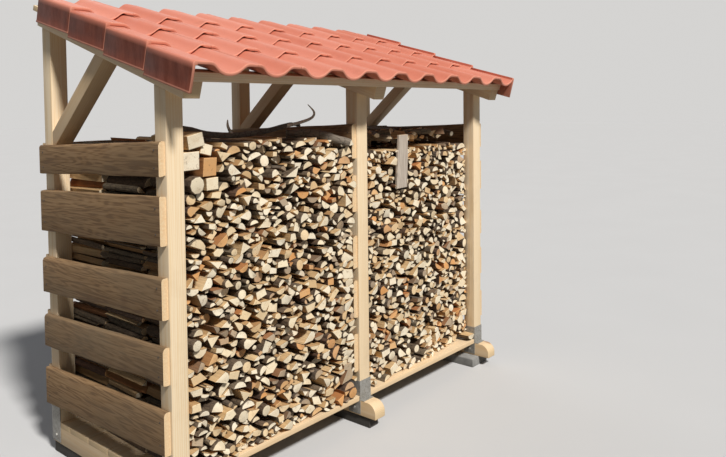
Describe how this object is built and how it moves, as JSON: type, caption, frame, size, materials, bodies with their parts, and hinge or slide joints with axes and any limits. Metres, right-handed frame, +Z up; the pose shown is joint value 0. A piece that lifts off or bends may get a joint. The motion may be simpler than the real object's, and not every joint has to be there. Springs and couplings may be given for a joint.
{
  "type": "log store",
  "caption": "Open-fronted timber log store with two bays full of stacked firewood, slatted sides and back, a deck on bearers and a lean-to roof of clay pantiles.",
  "frame": {"origin": "middle of the footprint at ground level", "axes": "+X along the open front, to the right as seen from the front; +Y towards the back; +Z up"},
  "size_m": [2.068, 1.0894, 1.8903],
  "materials": {
    "planed_timber": "planed softwood, lightly weathered",
    "rough_board": "rough-sawn, weathered brown-grey",
    "deck_board": "fresh rough-sawn softwood",
    "galvanised_steel": "dull galvanised",
    "concrete": "cast concrete",
    "clay_tile": "natural red fired clay, unglazed",
    "firewood": "split and sawn logs with bark"
  },
  "bodies": {
    "root": {"back_boards": "rough_board", "back_post_left": "planed_timber", "back_post_middle": "planed_timber", "back_post_right": "planed_timber", "back_shoe_left": "galvanised_steel", "back_shoe_middle": "galvanised_steel", "back_shoe_right": "galvanised_steel", "bearer_left": "planed_timber", "bearer_middle": "planed_timber", "bearer_right": "planed_timber", "brace_left": "planed_timber", "brace_middle": "planed_timber", "brace_right": "planed_timber", "deck_boards": "deck_board", "eave_batten": "planed_timber", "firewood_left_bay": "firewood", "firewood_right_bay": "firewood", "front_post_left": "planed_timber", "front_post_middle": "planed_timber", "front_post_right": "planed_timber", "front_shoe_left": "galvanised_steel", "front_shoe_middle": "galvanised_steel", "front_shoe_right": "galvanised_steel", "kerb_left": "concrete", "kerb_middle": "concrete", "kerb_right": "concrete", "pantile_course_1": "clay_tile", "pantile_course_2": "clay_tile", "pantile_course_3": "clay_tile", "pantile_course_4": "clay_tile", "rafter_left": "planed_timber", "rafter_middle": "planed_timber", "rafter_right": "planed_timber", "side_boards_left": "rough_board", "side_boards_middle": "rough_board", "side_boards_right": "rough_board", "tile_battens": "planed_timber", "verge_tiles_left": "clay_tile", "verge_tiles_right": "clay_tile"}
  },
  "joints": []
}
